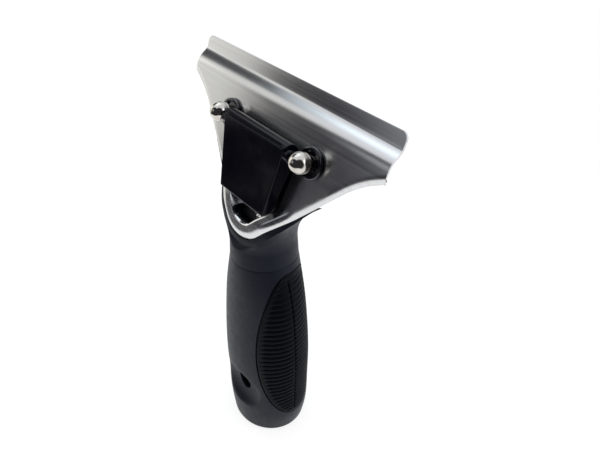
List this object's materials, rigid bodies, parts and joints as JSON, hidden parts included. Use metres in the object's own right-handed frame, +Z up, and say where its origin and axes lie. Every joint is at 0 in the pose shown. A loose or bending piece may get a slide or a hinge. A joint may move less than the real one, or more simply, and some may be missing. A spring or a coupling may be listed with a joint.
{
  "type": "window squeegee handle",
  "caption": "Window squeegee handle with a pressed steel jaw for the blade channel, a cam release lever on studs, and a ribbed rubber grip with a pole socket.",
  "frame": {"origin": "on the handle's axis, in the plane of its base", "axes": "+Z up along the handle to the jaws, -Y towards the front where the release lever is, +X along the jaws to the right as seen from the front"},
  "size_m": [0.108, 0.0344, 0.1664],
  "materials": {
    "brushed_steel": "brushed along the jaws, satin to semi-mirror",
    "clamp_steel": "satin",
    "stud_nickel": "polished",
    "bush_plastic": "glossy black",
    "spring_steel": "drawn wire",
    "washer_steel": "satin",
    "axle_steel": "ground",
    "lever_plastic": "black, semi-gloss",
    "core_plastic": "black, matt",
    "rivet_steel": "satin",
    "grip_rubber": "charcoal, matt with a soft sheen",
    "panel_rubber": "near black, ribbed, matt",
    "collar_rubber": "charcoal, matt with a soft sheen"
  },
  "bodies": {
    "handle": {"handle_core": "core_plastic", "grip_sleeve": "grip_rubber", "grip_panel_left": "panel_rubber", "grip_panel_right": "panel_rubber", "neck_collar": "collar_rubber", "front_jaw_plate": "brushed_steel", "neck_rivet_left": "rivet_steel", "neck_rivet_right": "rivet_steel", "rivet_washer_left": "washer_steel", "rivet_washer_right": "washer_steel", "stud_bush_left": "bush_plastic", "stud_bush_right": "bush_plastic"},
    "clamp": {"clamp_plate": "clamp_steel", "stud_left": "stud_nickel", "stud_right": "stud_nickel", "stud_washer_left": "washer_steel", "stud_washer_right": "washer_steel", "clamp_spring_left": "spring_steel", "clamp_spring_right": "spring_steel", "lever_axle": "axle_steel"},
    "lever": {"release_lever": "lever_plastic"}
  },
  "joints": [
    {"name": "clamp_slide", "type": "slide", "parent": "handle", "child": "clamp", "axis": [0, 0.9391, -0.3437], "range_m": [0, 0.0016]},
    {"name": "lever_swing", "type": "hinge", "parent": "clamp", "child": "lever", "pos_m": [0, -0.0015, 0.14839], "axis": [-1, 0, 0], "range_deg": [0, 100]}
  ],
  "couplings": [
    {"joint": "clamp_slide", "follows": "lever_swing", "m_per_rad": 0.000916}
  ]
}
